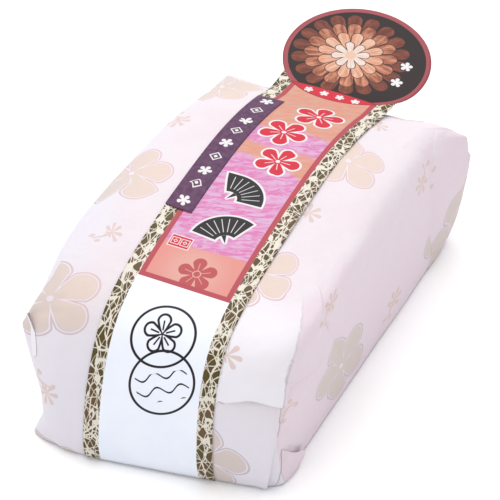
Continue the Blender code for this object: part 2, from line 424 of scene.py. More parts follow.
# How far outside a sheet's guessed place a cast starts, and how far off it may land, in metres
CAST_FROM = 0.02
CAST_REACH = 0.03


class Skin:
    """The finished block, to lay sheets of paper on."""

    def __init__(self, gathered):
        self.points = gathered.points
        self.faces = gathered.faces
        self.coordinates = gathered.coordinates
        self.tree = BVHTree.FromPolygons(gathered.points, gathered.faces)

    def under(self, point, towards):
        """Surface point met when looking at a point from outside, with its paper coordinates."""
        spot, _, index, _ = self.tree.ray_cast(point + towards * CAST_FROM, -towards)
        if spot is None or (spot - point).length > CAST_REACH:
            spot, _, index, _ = self.tree.find_nearest(point)
        corners = [self.points[i] for i in self.faces[index][:3]]
        paper = [Vector((u, v, 0.0)) for u, v in self.coordinates[index][:3]]
        printed = barycentric_transform(spot, *corners, *paper)
        return spot, (printed.x, printed.y)


def soft_point(knots, share):
    """Point at a share of the way along a soft curve through a few points."""
    ends = [knots[0] * 2 - knots[1], *knots, knots[-1] * 2 - knots[-2]]
    place = share * (len(knots) - 1)
    k = min(int(place), len(knots) - 2)
    t = place - k
    a, b, c, d = ends[k:k + 4]
    bend = (c - a) * t + (a * 2 - b * 5 + c * 4 - d) * t ** 2 + (b * 3 - a - c * 3 + d) * t ** 3
    return b + bend / 2


def shell(gathered, outer, inner, paper):
    """Closed thin shell between two like grids of points."""
    base = len(gathered.points)
    rows = len(outer)
    columns = len(outer[0])
    for grid in (outer, inner):
        for line in grid:
            gathered.points.extend(line)
    high = [[base + i * columns + j for j in range(columns)] for i in range(rows)]
    low = [[index + rows * columns for index in line] for line in high]
    gathered.grid(high, paper)
    gathered.grid(low, paper, flip=True)
    for i, flip in ((0, True), (rows - 1, False)):
        gathered.grid([high[i], low[i]], [paper[i], paper[i]], flip=flip)
    for j, flip in ((0, False), (columns - 1, True)):
        rim = [[line[j] for line in high], [line[j] for line in low]]
        gathered.grid(rim, [[line[j] for line in paper]] * 2, flip=flip)


def patch_point(left, right, foot, head, u, v):
    """Point of the soft patch between four edge curves, at shares u across and v up."""
    between_sides = soft_point(left, v).lerp(soft_point(right, v), u)
    between_ends = soft_point(foot, u).lerp(soft_point(head, u), v)
    corners = left[0].lerp(right[0], u).lerp(left[-1].lerp(right[-1], u), v)
    return between_sides + between_ends - corners


def laid_sheet(name, skin, edges, towards, lift, material, shift=(0.0, 0.0), flat_from=None):
    """A sheet of paper between four edge curves, cast onto the block and raised by lift(u, v).

    The edges are the left, right, foot and head one, each through a few points in
    millimetres, and the lift is in millimetres too. From the share flat_from
    across, a sheet stays between its edges where the block lies deeper.
    """
    towards = Vector(towards).normalized()
    curves = [[Vector(point) * MM for point in edge] for edge in edges]
    outer = []
    inner = []
    paper = []
    for row in range(SHEET_ROWS + 1):
        v = row / SHEET_ROWS
        line_out = []
        line_in = []
        line_paper = []
        for column in range(SHEET_COLUMNS + 1):
            u = column / SHEET_COLUMNS
            guess = patch_point(*curves, u, v)
            spot, printed = skin.under(guess, towards)
            if flat_from is not None and (spot - guess).dot(towards) < 0.0:
                spot = spot.lerp(guess, smooth_step(u / flat_from))
            height = lift(u, v) * MM
            line_in.append(spot + towards * height)
            line_out.append(spot + towards * (height + PAPER_THICKNESS))
            line_paper.append((printed[0] + shift[0], printed[1] + shift[1]))
        outer.append(line_out)
        inner.append(line_in)
        paper.append(line_paper)
    gathered = PaperMesh()
    shell(gathered, outer, inner, paper)
    return gathered.make(name, material, "wrap_paper")


# Label band

def label_grid():
    """Rows of points under the card from foot to disc, with print coordinates in metres."""
    shares = [blend(-LABEL_SHARE, LABEL_SHARE, i / LABEL_COLUMNS) for i in range(LABEL_COLUMNS + 1)]
    half_label = LABEL_WIDTH / 2
    rows = []
    widths = []
    for i in range(LABEL_HEIGHT_ROWS):
        up = blend(FOOT_ROW, 1.0, i / LABEL_HEIGHT_ROWS)
        rows.append([pack_point(share, -1.0, up) for share in shares])
        widths.append(half_label)
    for i in range(LABEL_LENGTH_ROWS + 1):
        along = blend(-1.0, LAST_ROW_ON_BLOCK, i / LABEL_LENGTH_ROWS)
        rows.append([pack_point(share, along, 1.0) for share in shares])
        widths.append(half_label)
    for point in rows[0]:
        point.z = max(point.z, LABEL_FOOT_Z)
    free, free_widths = disc_rows(rows[-1])
    return rows + free, widths + free_widths


def free_rise(past_edge):
    """Rise of the free card at a distance past the block's back edge, as it curls up."""
    bent = min(past_edge, DISC_BEND)
    rise = EDGE_SLOPE * bent + (DISC_LIFT - EDGE_SLOPE) * bent ** 2 / (2 * DISC_BEND)
    return rise + DISC_LIFT * (past_edge - bent)


def disc_rows(last_row):
    """Rows of the free card past the block's back edge, ending in the disc."""
    edge_y = sum(point.y for point in last_row) / len(last_row)
    edge_z = sum(point.z for point in last_row) / len(last_row)
    half_label = LABEL_WIDTH / 2
    start_angle = math.asin(half_label / DISC_RADIUS)
    neck_y = DISC_CENTRE_Y - DISC_RADIUS * math.cos(start_angle)
    spans = [(blend(edge_y, neck_y, (i + 1) / NECK_ROWS), half_label) for i in range(NECK_ROWS - 1)]
    for i in range(DISC_ROWS):
        angle = blend(start_angle, math.pi, i / DISC_ROWS)
        spans.append((DISC_CENTRE_Y - DISC_RADIUS * math.cos(angle), DISC_RADIUS * math.sin(angle)))
    rows = []
    for y, half_width in spans:
        turn = DISC_TWIST * smooth_step((y - edge_y) / DISC_RADIUS)
        row = []
        for i in range(LABEL_COLUMNS + 1):
            share = 2.0 * i / LABEL_COLUMNS - 1.0
            x = half_width * share
            lag = max(0.0, 1.0 - (y - edge_y) / (neck_y - edge_y))
            start = last_row[i]
            straight = Vector((x, y, edge_z + free_rise(y - edge_y) - turn * x))
            from_edge = Vector((x, y + (start.y - edge_y), start.z + free_rise(y - edge_y)))
            row.append(straight.lerp(from_edge, smooth_step(lag)))
        rows.append(row)
    return rows, [half_width for _, half_width in spans]


def row_normals(rows):
    """Outward directions at each point of a run of rows."""
    normals = []
    for j, row in enumerate(rows):
        before = rows[max(0, j - 1)]
        after = rows[min(len(rows) - 1, j + 1)]
        line = []
        for i in range(len(row)):
            run = after[i] - before[i]
            across = row[min(len(row) - 1, i + 1)] - row[max(0, i - 1)]
            line.append(across.cross(run).normalized())
        normals.append(line)
    return normals


class Card:
    """The label's surface, with its rows, normals and print coordinates."""

    def __init__(self):
        self.rows, widths = label_grid()
        self.normals = row_normals(self.rows)
        self.centre_line = [row[LABEL_COLUMNS // 2] for row in self.rows]
        self.lengths = running_lengths(self.centre_line, 0)
        self.print = []
        for length, half_width in zip(self.lengths, widths):
            shares = [2.0 * i / LABEL_COLUMNS - 1.0 for i in range(LABEL_COLUMNS + 1)]
            self.print.append([(share * half_width, length) for share in shares])

    def length_at(self, y):
        """Length from the foot to the point of the top centre line at this y."""
        for j in range(LABEL_HEIGHT_ROWS, len(self.lengths) - 1):
            low = self.centre_line[j].y
            high = self.centre_line[j + 1].y
            if low <= y <= high:
                return blend(self.lengths[j], self.lengths[j + 1], (y - low) / (high - low))
        return self.lengths[-1]

    def raised(self, height):
        """The rows raised along their normals."""
        return [[p + n * height for p, n in zip(*pair)] for pair in zip(self.rows, self.normals)]

    def spot(self, u, v, height):
        """Point above the card at print coordinates u, v of its strip part."""
        j = max(k for k in range(len(self.lengths) - 1) if self.lengths[k] <= v)
        t = (v - self.lengths[j]) / (self.lengths[j + 1] - self.lengths[j])
        place = (u / LABEL_WIDTH + 0.5) * LABEL_COLUMNS
        i = min(LABEL_COLUMNS - 1, max(0, int(place)))
        s = place - i
        before = self.rows[j][i].lerp(self.rows[j][i + 1], s)
        after = self.rows[j + 1][i].lerp(self.rows[j + 1][i + 1], s)
        return before.lerp(after, t) + self.normals[j][i] * height


def make_label(card, material):
    """The card: one bent strip that ends in the overhanging disc."""
    gathered = PaperMesh()
    shell(gathered, card.raised(LABEL_LIFT + LABEL_THICKNESS), card.raised(LABEL_LIFT), card.print)
    gathered.turn_over()
    item = gathered.make("label_card", material, "label_card")
    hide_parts("label_band")
    return item


def make_sticker(card, material):
    """The narrow rectangular sticker on the label's left edge."""
    start = card.length_at(STICKER_FRONT_Y)
    outer = []
    inner = []
    paper = []
    for j in range(STICKER_ROWS + 1):
        along = STICKER_LENGTH * j / STICKER_ROWS
        across = [STICKER_WIDTH * i / STICKER_COLUMNS - LABEL_WIDTH / 2 for i in range(STICKER_COLUMNS + 1)]
        curl = STICKER_CURL * smooth_step(1.0 - 8.0 * j / STICKER_ROWS)
        low = LABEL_LIFT + LABEL_THICKNESS + STICKER_GAP + curl
        inner.append([card.spot(u, start + along, low) for u in across])
        outer.append([card.spot(u, start + along, low + STICKER_THICKNESS) for u in across])
        paper.append([(u, along) for u in across])
    gathered = PaperMesh()
    shell(gathered, outer, inner, paper)
    gathered.turn_over()
    item = gathered.make("edge_sticker", material, "sticker_paper")
    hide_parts("side_sticker")
    return item


# Shader arithmetic

def rgb(red, green, blue):
    """A colour seen on a lit flat sheet, from 0 to 255, as the shader's linear one."""
    def linear(value):
        value /= 255.0
        light = value / 12.92 if value <= 0.04045 else ((value + 0.055) / 1.055) ** 2.4
        return light / LIGHT_LEVEL
    return (linear(red), linear(green), linear(blue), 1.0)


def arithmetic(operation, swapped=False):
    """Method of a Number that adds one Math node, with its two values swapped where asked."""
    def method(number, *others):
        values = (number, *others)
        return number.graph.math(operation, *(values[::-1] if swapped else values))
    return method


class Number:
    """A number that varies over a surface. Arithmetic on it adds nodes."""

    def __init__(self, graph, socket):
        self.graph = graph
        self.socket = socket

    __add__ = __radd__ = arithmetic("ADD")
    __mul__ = __rmul__ = arithmetic("MULTIPLY")
    __sub__ = arithmetic("SUBTRACT")
    __rsub__ = arithmetic("SUBTRACT", swapped=True)
    __truediv__ = arithmetic("DIVIDE")
    size = arithmetic("ABSOLUTE")
    least = arithmetic("MINIMUM")
    most = arithmetic("MAXIMUM")


class Graph:
    """One material and the nodes that are added to it."""

    def __init__(self, name):
        self.material = bpy.data.materials.new(name)
        self.material.use_nodes = True
        self.tree = self.material.node_tree
        self.shader = self.tree.nodes["Principled BSDF"]

    def add(self, kind, **settings):
        """A new node with these settings."""
        item = self.tree.nodes.new(kind)
        for key, value in settings.items():
            setattr(item, key, value)
        return item

    def feed(self, value, socket):
        """Link a varying value to a socket, or set a plain one on it."""
        if isinstance(value, Number):
            self.tree.links.new(value.socket, socket)
        elif isinstance(value, bpy.types.NodeSocket):
            self.tree.links.new(value, socket)
        else:
            socket.default_value = value

    def math(self, operation, *values):
        """Result of one Math node."""
        item = self.add("ShaderNodeMath", operation=operation)
        for value, socket in zip(values, item.inputs):
            self.feed(value, socket)
        return Number(self, item.outputs[0])

    def paper(self):
        """Unrolled paper coordinates in millimetres."""
        source = self.add("ShaderNodeUVMap", uv_map="paper")
        split = self.add("ShaderNodeSeparateXYZ")
        self.tree.links.new(source.outputs[0], split.inputs[0])
        u = Number(self, split.outputs[0]) * 1000.0
        v = Number(self, split.outputs[1]) * 1000.0
        return u, v

    def vector(self, x, y, z=0.0):
        """A vector socket of three numbers."""
        item = self.add("ShaderNodeCombineXYZ")
        for value, socket in zip((x, y, z), item.inputs):
            self.feed(value, socket)
        return item.outputs[0]

    def noise(self, place, scale, detail=3.0, roughness=0.55, distortion=0.0):
        """Soft noise from 0 to 1."""
        item = self.add("ShaderNodeTexNoise")
        self.tree.links.new(place, item.inputs["Vector"])
        item.inputs["Scale"].default_value = scale
        item.inputs["Detail"].default_value = detail
        item.inputs["Roughness"].default_value = roughness
        item.inputs["Distortion"].default_value = distortion
        return Number(self, item.outputs["Fac"])

    def cracks(self, place, scale):
        """Distance to the nearest line of a random net."""
        item = self.add("ShaderNodeTexVoronoi", feature="DISTANCE_TO_EDGE")
        self.tree.links.new(place, item.inputs["Vector"])
        item.inputs["Scale"].default_value = scale
        return Number(self, item.outputs["Distance"])

    def chance(self, x, y, seed):
        """Random number from 0 to 1 for each whole x and y."""
        item = self.add("ShaderNodeTexWhiteNoise", noise_dimensions="3D")
        self.tree.links.new(self.vector(x, y, seed), item.inputs["Vector"])
        return Number(self, item.outputs["Value"])

    def ramp(self, value, low, high):
        """Smooth rise from 0 to 1 as the value goes from low to high."""
        item = self.add("ShaderNodeMapRange", interpolation_type="SMOOTHSTEP")
        self.feed(value, item.inputs["Value"])
        self.feed(low, item.inputs["From Min"])
        self.feed(high, item.inputs["From Max"])
        return Number(self, item.outputs["Result"])

    def inside(self, distance, soft=0.10):
        """1 where a distance in millimetres is below zero, with a soft edge."""
        return 1.0 - self.ramp(distance, -soft, soft)

    def length(self, x, y):
        """Length of a plane vector."""
        return self.math("SQRT", x * x + y * y)

    def mix(self, share, under, over):
        """One colour laid over another by share."""
        item = self.add("ShaderNodeMix", data_type="RGBA")
        self.feed(share, item.inputs[0])
        self.feed(under, item.inputs[6])
        self.feed(over, item.inputs[7])
        return item.outputs[2]

    def lay(self, colour, distance, ink):
        """A colour with ink over it where a distance is below zero."""
        return self.mix(self.inside(distance), colour, ink)

    def turned(self, x, y, angle):
        """Plane coordinates turned by an angle, which may vary."""
        cosine = self.math("COSINE", angle)
        sine = self.math("SINE", angle)
        return x * cosine + y * sine, y * cosine - x * sine

    def folded(self, x, y, count):
        """Plane coordinates folded into half of one of count equal sectors round the X axis."""
        angle = self.math("ARCTAN2", y, x)
        part = self.math("PINGPONG", angle, math.pi / count)
        reach = self.length(x, y)
        return reach * self.math("COSINE", part), reach * self.math("SINE", part)

    def petals(self, x, y, count, centre, radius, taper=0.8):
        """Distance to a ring of drop-shaped petals whose round heads stand at centre."""
        along, aside = self.folded(x, y, count)
        width = self.math("POWER", (along / centre).most(0.001).least(1.0), taper) * radius
        return self.length((along - centre).most(0.0), aside) - width

    def bump(self, height, distance):
        """Give the shader a bump from a height of 0 to 1."""
        item = self.add("ShaderNodeBump")
        item.inputs["Distance"].default_value = distance
        self.feed(height, item.inputs["Height"])
        self.tree.links.new(item.outputs[0], self.shader.inputs["Normal"])

    def finish(self, colour, roughness, specular=0.5):
        """Feed the colour and the roughness, and set the strength of the gloss."""
        self.shader.inputs["Specular IOR Level"].default_value = specular
        self.feed(colour, self.shader.inputs["Base Color"])
        self.feed(roughness, self.shader.inputs["Roughness"])
        return self.material


# Printed wrapping paper

PAPER_PALE = rgb(252, 242, 248)
PAPER_PINK = rgb(250, 234, 241)
# Painted shade: lavender and pink tints on the left side, right side and front, where the paper is shaded
PAPER_LEFT_PAINTED_SHADE = rgb(247, 242, 252)
PAPER_RIGHT_PAINTED_SHADE = rgb(249, 230, 240)
PAPER_FRONT_PAINTED_SHADE = rgb(250, 245, 255)
PAPER_WHITE = rgb(254, 249, 254)
PAPER_DOUBLED = rgb(264, 261, 268)
# Blossom colours, and their greyer copies, which are painted shade for the sides and front
BLOSSOM_FILL = rgb(246, 225, 214)
BLOSSOM_FILL_PAINTED_SHADE = rgb(233, 219, 213)
BLOSSOM_LINE = rgb(239, 210, 212)
BLOSSOM_LINE_PAINTED_SHADE = rgb(221, 207, 214)
SPRIG_INK = rgb(236, 208, 198)

# Blossoms on the wrap: cell of the half-drop layout and where it starts, petals
# and outline, and the width of the top, in millimetres
CELL_WIDTH = 80.0
CELL_LENGTH = 78.0
CELL_WANDER = 2.0
FIRST_U = 30.5
FIRST_V = 16.5
WRAP_PETALS = 5
PETAL_CENTRE = 10.8
PETAL_RADIUS = 5.9
OUTLINE_GAP = 1.00
OUTLINE_WIDTH = 0.36
PETAL_TAPER = 0.92
PETAL_RIM = 0.16
HEART_RADIUS = 1.3
TOP_HALF_WIDTH = 54.0
TOP_FRONT_V = -92.0

# Doubled layers grow white between these distances from the pack's middle
DOUBLED_FROM = 58.0
DOUBLED_TO = 86.0

PAPER_GLOSS = 0.30
PAPER_BUMP = 0.00035


def cell_place(graph, u, v, first_u, first_v, seed):
    """Place inside the nearest cell of a half-drop layout, moved and turned at random."""
    across = (u - first_u) / CELL_WIDTH + 0.5
    column = graph.math("FLOOR", across)
    drop = graph.math("PINGPONG", column, 1.0) * 0.5
    down = (v - first_v) / CELL_LENGTH + 0.5 + drop
    row = graph.math("FLOOR", down)
    x = (across - column - 0.5) * CELL_WIDTH
    y = (down - row - 0.5) * CELL_LENGTH
    x = x + (graph.chance(column, row, seed) - 0.5) * (2 * CELL_WANDER)
    y = y + (graph.chance(column, row, seed + 1.0) - 0.5) * (2 * CELL_WANDER)
    angle = graph.chance(column, row, seed + 2.0) * (2 * math.pi)
    return graph.turned(x, y, angle)


def print_sprig(graph, u, v, first_u, first_v, seed, paper):
    """Lay small sprigs over the paper colour: a spray of leaves, a stem and two buds."""
    x, y = cell_place(graph, u, v, first_u, first_v, seed)
    leaves = graph.petals(x, y, 7, 4.6, 1.05).most(-2.6 - x)
    stem = (y.size() - 0.45).most((x + 3.6).size() - 4.2)
    twig = ((y - x * 0.9 - 4.2).size() - 0.5).most((x + 3.2).size() - 2.2)
    buds = (graph.length(x + 7.8, y - 2.0) - 1.2).least(graph.length(x + 6.6, y + 2.4) - 1.0)
    sprig = leaves.least(stem).least(twig).least(buds)
    return graph.mix(graph.inside(sprig) * 0.75, paper, SPRIG_INK)


def print_blossoms(graph, u, v, shade, paper):
    """Lay double-outlined blossoms and small sprigs over the paper colour, in greyer copies of their colours
    as painted shade where the shade mask is high.
    """
    x, y = cell_place(graph, u, v, FIRST_U, FIRST_V, 3.0)
    petal = graph.petals(x, y, WRAP_PETALS, PETAL_CENTRE, PETAL_RADIUS, PETAL_TAPER)
    outline = (petal - OUTLINE_GAP).size() - OUTLINE_WIDTH
    line = graph.mix(shade, BLOSSOM_LINE, BLOSSOM_LINE_PAINTED_SHADE)
    fill = graph.mix(shade, BLOSSOM_FILL, BLOSSOM_FILL_PAINTED_SHADE)
    paper = graph.lay(paper, outline, line)
    paper = graph.lay(paper, petal, fill)
    rim = petal.size() - PETAL_RIM
    paper = graph.mix(graph.inside(rim) * 0.5, paper, line)
    heart = graph.length(x, y) - HEART_RADIUS
    paper = graph.lay(paper, heart, PAPER_PALE)
    half_v = FIRST_V + CELL_LENGTH / 2
    paper = print_sprig(graph, u, v, FIRST_U, half_v, 11.0, paper)
    return print_sprig(graph, u, v, FIRST_U + CELL_WIDTH / 2, FIRST_V + CELL_LENGTH / 4, 17.0, paper)


def paper_material(name, doubled):
    """Soft matte printed paper with painted shade tints on its sides and front; doubled layers are whiter.
    """
    graph = Graph(name)
    u, v = graph.paper()
    place = graph.vector(u, v)
    # Painted shade: left, right and front mask the shaded sides and front, and shade joins them for the
    # greyer blossoms
    left = graph.ramp(0.0 - u, TOP_HALF_WIDTH - 14.0, TOP_HALF_WIDTH + 8.0)
    right = graph.ramp(u, TOP_HALF_WIDTH, TOP_HALF_WIDTH + 10.0)
    front = graph.ramp(TOP_FRONT_V - v, 0.0, 30.0)
    shade = left.most(right).most(front)
    cloudy = graph.noise(place, 0.03, detail=4.0)
    base = graph.mix(graph.ramp(cloudy, 0.42, 0.66) * 0.7, PAPER_PALE, PAPER_PINK)
    base = graph.mix(left, base, PAPER_LEFT_PAINTED_SHADE)
    base = graph.mix(front, base, PAPER_FRONT_PAINTED_SHADE)
    base = graph.mix(right, base, PAPER_RIGHT_PAINTED_SHADE)
    fibres = graph.noise(graph.vector(u * 0.25, v * 1.6), 1.1, detail=5.0, roughness=0.7)
    base = graph.mix(graph.ramp(fibres, 0.30, 0.75) * 0.30, base, PAPER_WHITE)
    if doubled:
        base = graph.mix(graph.ramp(v.size(), DOUBLED_FROM, DOUBLED_TO) * 0.75, base, PAPER_DOUBLED)
    printed = print_blossoms(graph, u, v, shade, base)
    grain = graph.noise(place, 2.4, detail=6.0, roughness=0.7)
    soft = graph.noise(place, 0.16, detail=3.0)
    graph.bump(grain * 0.25 + soft, PAPER_BUMP)
    return graph.finish(printed, graph.ramp(grain, 0.1, 0.9) * 0.2 + 0.50, PAPER_GLOSS)


# Printed card

GOLD_BROWN = rgb(112, 86, 56)
GOLD_OLIVE = rgb(96, 80, 40)
CREAM = rgb(250, 243, 228)
ROSE = rgb(196, 82, 92)
CARD_WHITE = rgb(268, 272, 283)
CARD_COOL = rgb(262, 268, 281)
FIELD_FOOT = rgb(240, 158, 148)
FIELD_FOOT_PALE = rgb(240, 182, 172)
FIELD_PINK = rgb(231, 132, 190)
FIELD_LILAC = rgb(232, 190, 226)
FIELD_PEACH = rgb(234, 158, 134)
FIELD_SAND = rgb(226, 182, 164)
CRIMSON = rgb(226, 42, 66)
INK = rgb(36, 32, 36)
WHITE = rgb(252, 250, 250)
DEEP_ROSE = rgb(196, 72, 78)
DISC_FIELD = rgb(40, 26, 26)
DISC_RIM = rgb(176, 82, 90)
AUBURN = rgb(150, 80, 58)
AUBURN_DARK = rgb(112, 52, 40)
APRICOT = rgb(232, 158, 124)
APRICOT_PALE = rgb(246, 204, 178)
PLUM = rgb(116, 76, 110)
PLUM_DARK = rgb(92, 56, 90)

# Layout of the card's print in millimetres
BORDER = 6.5
FRAME_LINE = 2.3
PANEL_FOOT = 84.3
DISC_RIM_WIDTH = 2.3

# Line-drawn rings: centre, half length, half width and turn; and half the line
RINGS = (
    (0.5, 63.0, 13.2, 12.0, 0.4),
    (4.2, 44.5, 14.0, 12.8, 0.9),
)
RING_LINE = 0.50

# Fields of the panel from its foot up: the stretches over which they change
FOOT_FIELD_END = (104.6, 106.2)
PEACH_BAND_START = (159.0, 163.0)
PEACH_BAND_END = (172.0, 177.0)
PEACH_TOP_START = (188.5, 193.5)

# Large figures of the panel: centre, size and turn; and the line round them
CRIMSON_BLOSSOMS = ((4.6, 208.5, 11.0, 0.3), (-2.4, 187.0, 10.6, 1.1), (4.4, 165.5, 10.0, 0.0))
FANS = ((-1.5, 141.0, 15.5, 1.0), (2.0, 117.5, 15.5, 2.1))
FAN_HALF_ANGLE = 0.95
FAN_RIB_ANGLE = 0.118
FIGURE_LINE = 0.9

# Small figures of the panel: centres, and half the size of the square
ROSE_BLOSSOM = (2.0, 92.6)
SQUARE = (-11.6, 105.6)
SQUARE_HALF = (4.4, 2.9)

# Disc: middle of the flower, and rows of petals from the outermost in, with their count, the
# distance and half width of their heads as shares of the radius, turn and two colours
FLOWER_MIDDLE = (-3.6, 1.0)
FLOWER_ROWS = (
    (18, 0.700, 0.099, 0.0, AUBURN_DARK, AUBURN),
    (16, 0.540, 0.089, 0.16, AUBURN, APRICOT),
    (12, 0.370, 0.076, 0.0, APRICOT, APRICOT_PALE),
    (8, 0.200, 0.056, 0.3, APRICOT_PALE, WHITE),
)
FLOWER_HEART = 0.076
SIDE_BLOSSOMS = ((21.8, 5.2), (21.6, -6.2))
BANNER_EDGE = -0.76
BANNER_MIDDLE = -0.862

CARD_GLOSS = 0.22
CARD_BUMP = 0.00012
STICKER_BUMP = 0.00008
STICKER_FIGURES = 9


def border_colour(graph, u, v):
    """Brown ground crossed by random cream lines."""
    place = graph.vector(u, v)
    warp = graph.noise(place, 0.20, detail=0.0)
    ground = graph.mix(graph.ramp(graph.noise(place, 0.05), 0.42, 0.58), GOLD_BROWN, GOLD_OLIVE)
    first = graph.cracks(graph.vector(u + warp * 2.0, v * 0.60 + u * 0.5), 0.25)
    second = graph.cracks(graph.vector(u * 0.7 + 40.0, v * 0.45 - u * 0.9 + warp * 2.0), 0.28)
    third = graph.cracks(graph.vector(u * 0.5 + v * 0.5 + 80.0, v * 0.3 - u * 0.3), 0.30)
    wedge = graph.ramp(graph.noise(place, 0.30, detail=0.0), 0.52, 0.66)
    wedge = wedge * (graph.ramp(v, 60.0, 150.0) * 0.060 + 0.060)
    lines = (first - 0.030 - wedge).least(second - 0.026 - wedge * 0.4).least(third - 0.024)
    return graph.mix(graph.inside(lines, 0.012), ground, CREAM)


def panel_colour(graph, u, v):
    """Soft streaked fields of peach, pink and sand inside the rose frame."""
    place = graph.vector(u, v)
    drift = graph.noise(place, 0.035, detail=3.0) * 26.0 - 13.0
    streak = graph.noise(graph.vector(u * 0.10 + v * 0.03, v * 0.35 - u * 0.12), 1.3, 5.0, 0.65, 1.2)
    level = v + drift
    pink = graph.mix(graph.ramp(streak, 0.40, 0.62), FIELD_PINK, FIELD_LILAC)
    foot = graph.mix(graph.ramp(graph.length(u, v - 93.0), 2.0, 19.0), FIELD_FOOT_PALE, FIELD_FOOT)
    peach = graph.mix(graph.ramp(streak, 0.35, 0.70), FIELD_PEACH, FIELD_SAND)
    colour = graph.mix(graph.ramp(v + drift * 0.25, *FOOT_FIELD_END), foot, pink)
    band = graph.ramp(level, *PEACH_BAND_START) * (1.0 - graph.ramp(level, *PEACH_BAND_END))
    colour = graph.mix(band, colour, peach)
    return graph.mix(graph.ramp(level, *PEACH_TOP_START), colour, peach)


def outlined(graph, colour, distance, ink, line, line_width):
    """A figure in one ink with a line of another round it."""
    colour = graph.lay(colour, distance - line_width, line)
    return graph.lay(colour, distance, ink)


def print_figures(graph, u, v, colour):
    """Crimson blossoms and black fans in a loose zigzag."""
    for place_u, place_v, size, turn in CRIMSON_BLOSSOMS:
        x, y = graph.turned(u - place_u, v - place_v, turn)
        petal = graph.petals(x, y, 5, size * 0.66, size * 0.30, 0.7)
        colour = outlined(graph, colour, petal, CRIMSON, WHITE, FIGURE_LINE)
        vein_along, vein_aside = graph.folded(x, y, 5)
        vein = (vein_aside - 0.16).most((vein_along - size * 0.36).size() - size * 0.20)
        colour = graph.lay(colour, vein.least(graph.length(x, y) - size * 0.10), WHITE)
    for place_u, place_v, size, turn in FANS:
        x, y = graph.turned(u - place_u, v - place_v, turn)
        reach = graph.length(x + size * 0.45, y)
        spread = graph.math("ARCTAN2", y, x + size * 0.45).size()
        leaf = (reach - size).most(size * 0.30 - reach).most((spread - FAN_HALF_ANGLE) * reach)
        handle = (reach - size * 0.30).most((spread - 0.22) * reach)
        fan = leaf.least(handle)
        colour = outlined(graph, colour, fan, INK, WHITE, FIGURE_LINE)
        ribs = graph.math("PINGPONG", spread, FAN_RIB_ANGLE) * reach - 0.16
        ribs = ribs.most(size * 0.42 - reach).most(reach - size * 0.90).most(leaf + 0.5)
        colour = graph.mix(graph.inside(ribs) * 0.9, colour, WHITE)
    return colour


def print_small_figures(graph, u, v, colour):
    """Deep rose blossom at the panel's foot, and a crimson square beside it."""
    x, y = graph.turned(u - ROSE_BLOSSOM[0], v - ROSE_BLOSSOM[1], 0.5)
    petal = graph.petals(x, y, 5, 5.4, 2.9, 0.7)
    colour = graph.mix(graph.inside(petal) * 0.9, colour, DEEP_ROSE)
    along, aside = graph.folded(x, y, 5)
    vein = (aside - 0.14).most((along - 3.4).size() - 2.2)
    ring = (graph.length(x, y) - 1.6).size() - 0.22
    colour = graph.lay(colour, ring.least(vein), FIELD_FOOT_PALE)
    x = u - SQUARE[0]
    y = v - SQUARE[1]
    square = (x.size() - SQUARE_HALF[0]).most(y.size() - SQUARE_HALF[1])
    colour = outlined(graph, colour, square, CRIMSON, WHITE, 0.40)
    half_x = x.size() - 2.1
    inner = (half_x.size().most(y.size()) - 1.7).size() - 0.17
    lozenge = (half_x.size() + y.size() - 0.8).size() - 0.22
    return graph.lay(colour, inner.least(lozenge), WHITE)


def print_knot(graph, u, v, colour):
    """Two linked line-drawn rings on the white ground, with an outlined blossom and waves in them."""
    line = None
    for centre_u, centre_v, long, wide, turn in RINGS:
        x, y = graph.turned(u - centre_u, v - centre_v, turn)
        part = ((graph.length(x / long, y / wide) - 1.0) * wide).size() - RING_LINE
        line = part if line is None else line.least(part)
    upper_u, upper_v = RINGS[0][:2]
    x, y = graph.turned(u - upper_u + 0.6, v - upper_v - 0.8, 0.5)
    petal = graph.petals(x, y, 5, 5.2, 2.6, 0.7)
    along, aside = graph.folded(x, y, 5)
    vein = aside.most((along - 3.4).size() - 1.6)
    blossom = (petal.size() - RING_LINE).least(vein - RING_LINE * 0.7)
    lower_u, lower_v, lower_long = RINGS[1][:3]
    x, y = graph.turned(u - lower_u, v - lower_v, 0.35)
    ripple = graph.math("SINE", x * 0.62) * 1.5
    waves = (graph.math("PINGPONG", y + ripple + 40.0, 3.1) - RING_LINE * 0.8).most(y.size() - 7.6)
    waves = waves.most(graph.length(x, y) - (lower_long - 2.6)).most(y - 4.5)
    return graph.lay(colour, line.least(blossom).least(waves), INK)


